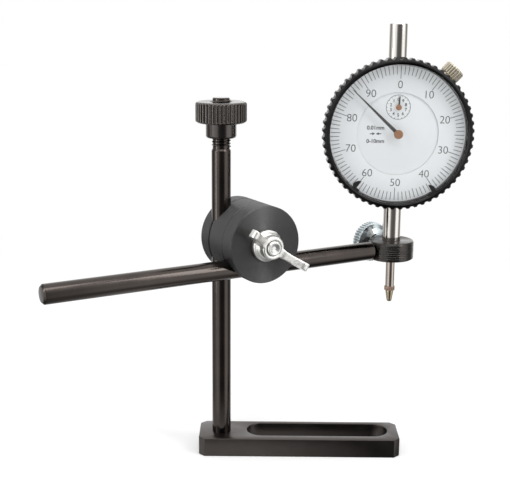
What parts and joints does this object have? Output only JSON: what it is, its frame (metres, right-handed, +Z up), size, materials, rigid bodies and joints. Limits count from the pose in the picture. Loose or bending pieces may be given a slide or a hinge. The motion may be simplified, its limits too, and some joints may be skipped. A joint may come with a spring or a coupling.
{
  "type": "dial indicator on a clamp stand",
  "caption": "Plunger dial gauge held by its stem in the eye of an arm, on a post with a two-way rod clamp and a slotted bolt-down base bar.",
  "frame": {"origin": "post axis on the underside of the base bar", "axes": "+Z up the post, +X along the base bar, the dial faces -Y"},
  "size_m": [0.1741, 0.1028, 0.1812],
  "materials": {
    "black_steel": "satin black oxide on turned steel",
    "zinc_plate": "bright zinc plating",
    "case_paint": "satin black paint",
    "chrome": "polished hard chrome",
    "nickel": "nickel plate",
    "brass": "clock brass, satin",
    "copper": "copper-coloured plate",
    "tip_steel": "hardened steel, straw tinted",
    "movement_steel": "bright steel",
    "dial_face": "matt printed dial",
    "hand_black": "matt black",
    "bezel_black": "satin moulded plastic",
    "marker_black": "matt moulded plastic",
    "clear_acrylic": "clear acrylic"
  },
  "bodies": {
    "base": {"base_bar": "black_steel"},
    "post": {"post": "black_steel"},
    "post_nut": {"post_nut": "black_steel"},
    "clamp": {"rear_clamp_disc": "black_steel", "middle_clamp_disc": "black_steel", "front_clamp_disc": "black_steel", "clamp_bolt": "zinc_plate"},
    "wing_nut": {"wing_nut": "zinc_plate"},
    "arm": {"arm_rod": "black_steel", "arm_eye": "black_steel"},
    "thumb_screw": {"thumb_screw": "zinc_plate"},
    "gauge": {"gauge_case": "case_paint", "back_cover": "case_paint", "back_cover_screws": "zinc_plate", "stem": "chrome", "lower_bush": "brass", "upper_bush": "brass", "spindle_cap": "chrome", "front_plate": "brass", "rear_plate": "brass", "plate_pillars": "brass", "plate_screws": "movement_steel", "centre_bridge": "brass", "guide_rail": "brass", "spring_post": "movement_steel", "return_spring": "movement_steel", "hairspring": "movement_steel", "hairspring_stud": "brass", "dial_centre": "dial_face", "bezel_retaining_ring": "movement_steel", "bezel_clamp_shoe": "nickel"},
    "bezel": {"bezel": "bezel_black", "scale_ring": "dial_face", "crystal_spacer": "bezel_black", "crystal": "clear_acrylic"},
    "tolerance_marker_left": {"tolerance_marker_left": "marker_black"},
    "tolerance_marker_right": {"tolerance_marker_right": "marker_black"},
    "bezel_clamp_screw": {"bezel_clamp_screw": "nickel"},
    "spindle": {"spindle": "chrome", "contact_point": "tip_steel", "guide_pin": "movement_steel"},
    "first_wheel": {"rack_pinion": "movement_steel", "first_gear": "brass"},
    "centre_wheel": {"centre_pinion": "movement_steel", "main_hand": "hand_black", "main_hand_hub": "copper"},
    "counter_wheel": {"takeup_gear": "brass", "counter_hand": "hand_black"}
  },
  "joints": [
    {"name": "post_turn", "type": "hinge", "parent": "base", "child": "post", "pos_m": [0, 0, 0.008], "axis": [0, 0, 1], "continuous": true},
    {"name": "post_nut_spin", "type": "hinge", "parent": "post", "child": "post_nut", "pos_m": [0, 0, 0.142], "axis": [0, 0, 1], "continuous": true},
    {"name": "clamp_height", "type": "slide", "parent": "post", "child": "clamp", "axis": [0, 0, 1], "range_m": [-0.057, 0.02]},
    {"name": "wing_nut_spin", "type": "hinge", "parent": "clamp", "child": "wing_nut", "pos_m": [0.01966, -0.01405, 0.0934], "axis": [0.5, -0.866, 0], "continuous": true},
    {"name": "arm_slide", "type": "slide", "parent": "clamp", "child": "arm", "axis": [0.866, 0.5, 0], "range_m": [-0.028, 0.06]},
    {"name": "thumb_screw_spin", "type": "hinge", "parent": "arm", "child": "thumb_screw", "pos_m": [0.06792, 0.04037, 0.083], "axis": [-0.5, 0.866, 0], "continuous": true},
    {"name": "gauge_turn", "type": "hinge", "parent": "arm", "child": "gauge", "pos_m": [0.07442, 0.02911, 0.083], "axis": [0, 0, 1], "continuous": true},
    {"name": "bezel_turn", "type": "hinge", "parent": "gauge", "child": "bezel", "pos_m": [0.07483, 0.02112, 0.1348], "axis": [0.0523, -0.9986, 0], "continuous": true},
    {"name": "marker_left_turn", "type": "hinge", "parent": "bezel", "child": "tolerance_marker_left", "pos_m": [0.07499, 0.01812, 0.1348], "axis": [-0.0523, 0.9986, 0], "range_deg": [-61, 280]},
    {"name": "marker_right_turn", "type": "hinge", "parent": "bezel", "child": "tolerance_marker_right", "pos_m": [0.07499, 0.01812, 0.1348], "axis": [-0.0523, 0.9986, 0], "range_deg": [-280, 61]},
    {"name": "bezel_clamp_screw_spin", "type": "hinge", "parent": "gauge", "child": "bezel_clamp_screw", "pos_m": [0.0743, 0.0313, 0.1348], "axis": [0.6874, 0.036, 0.7254], "continuous": true},
    {"name": "spindle_slide", "type": "slide", "parent": "gauge", "child": "spindle", "axis": [0, 0, 1], "range_m": [0, 0.01], "stiffness_N_per_m": 50, "springref_m": -0.01, "deforming": ["return_spring"]},
    {"name": "first_wheel_turn", "type": "hinge", "parent": "gauge", "child": "first_wheel", "pos_m": [0.07156, 0.02545, 0.12394], "axis": [0.0523, -0.9986, 0], "range_deg": [0, 360]},
    {"name": "centre_wheel_turn", "type": "hinge", "parent": "gauge", "child": "centre_wheel", "pos_m": [0.0746, 0.02561, 0.1348], "axis": [0.0523, -0.9986, 0], "range_deg": [-3600, 0]},
    {"name": "counter_wheel_turn", "type": "hinge", "parent": "gauge", "child": "counter_wheel", "pos_m": [0.0746, 0.02561, 0.14608], "axis": [0.0523, -0.9986, 0], "range_deg": [0, 360]}
  ],
  "couplings": [
    {"joint": "first_wheel_turn", "follows": "spindle_slide", "rad_per_m": 628.32},
    {"joint": "centre_wheel_turn", "follows": "spindle_slide", "rad_per_m": -6283.2},
    {"joint": "counter_wheel_turn", "follows": "spindle_slide", "rad_per_m": 628.32}
  ]
}
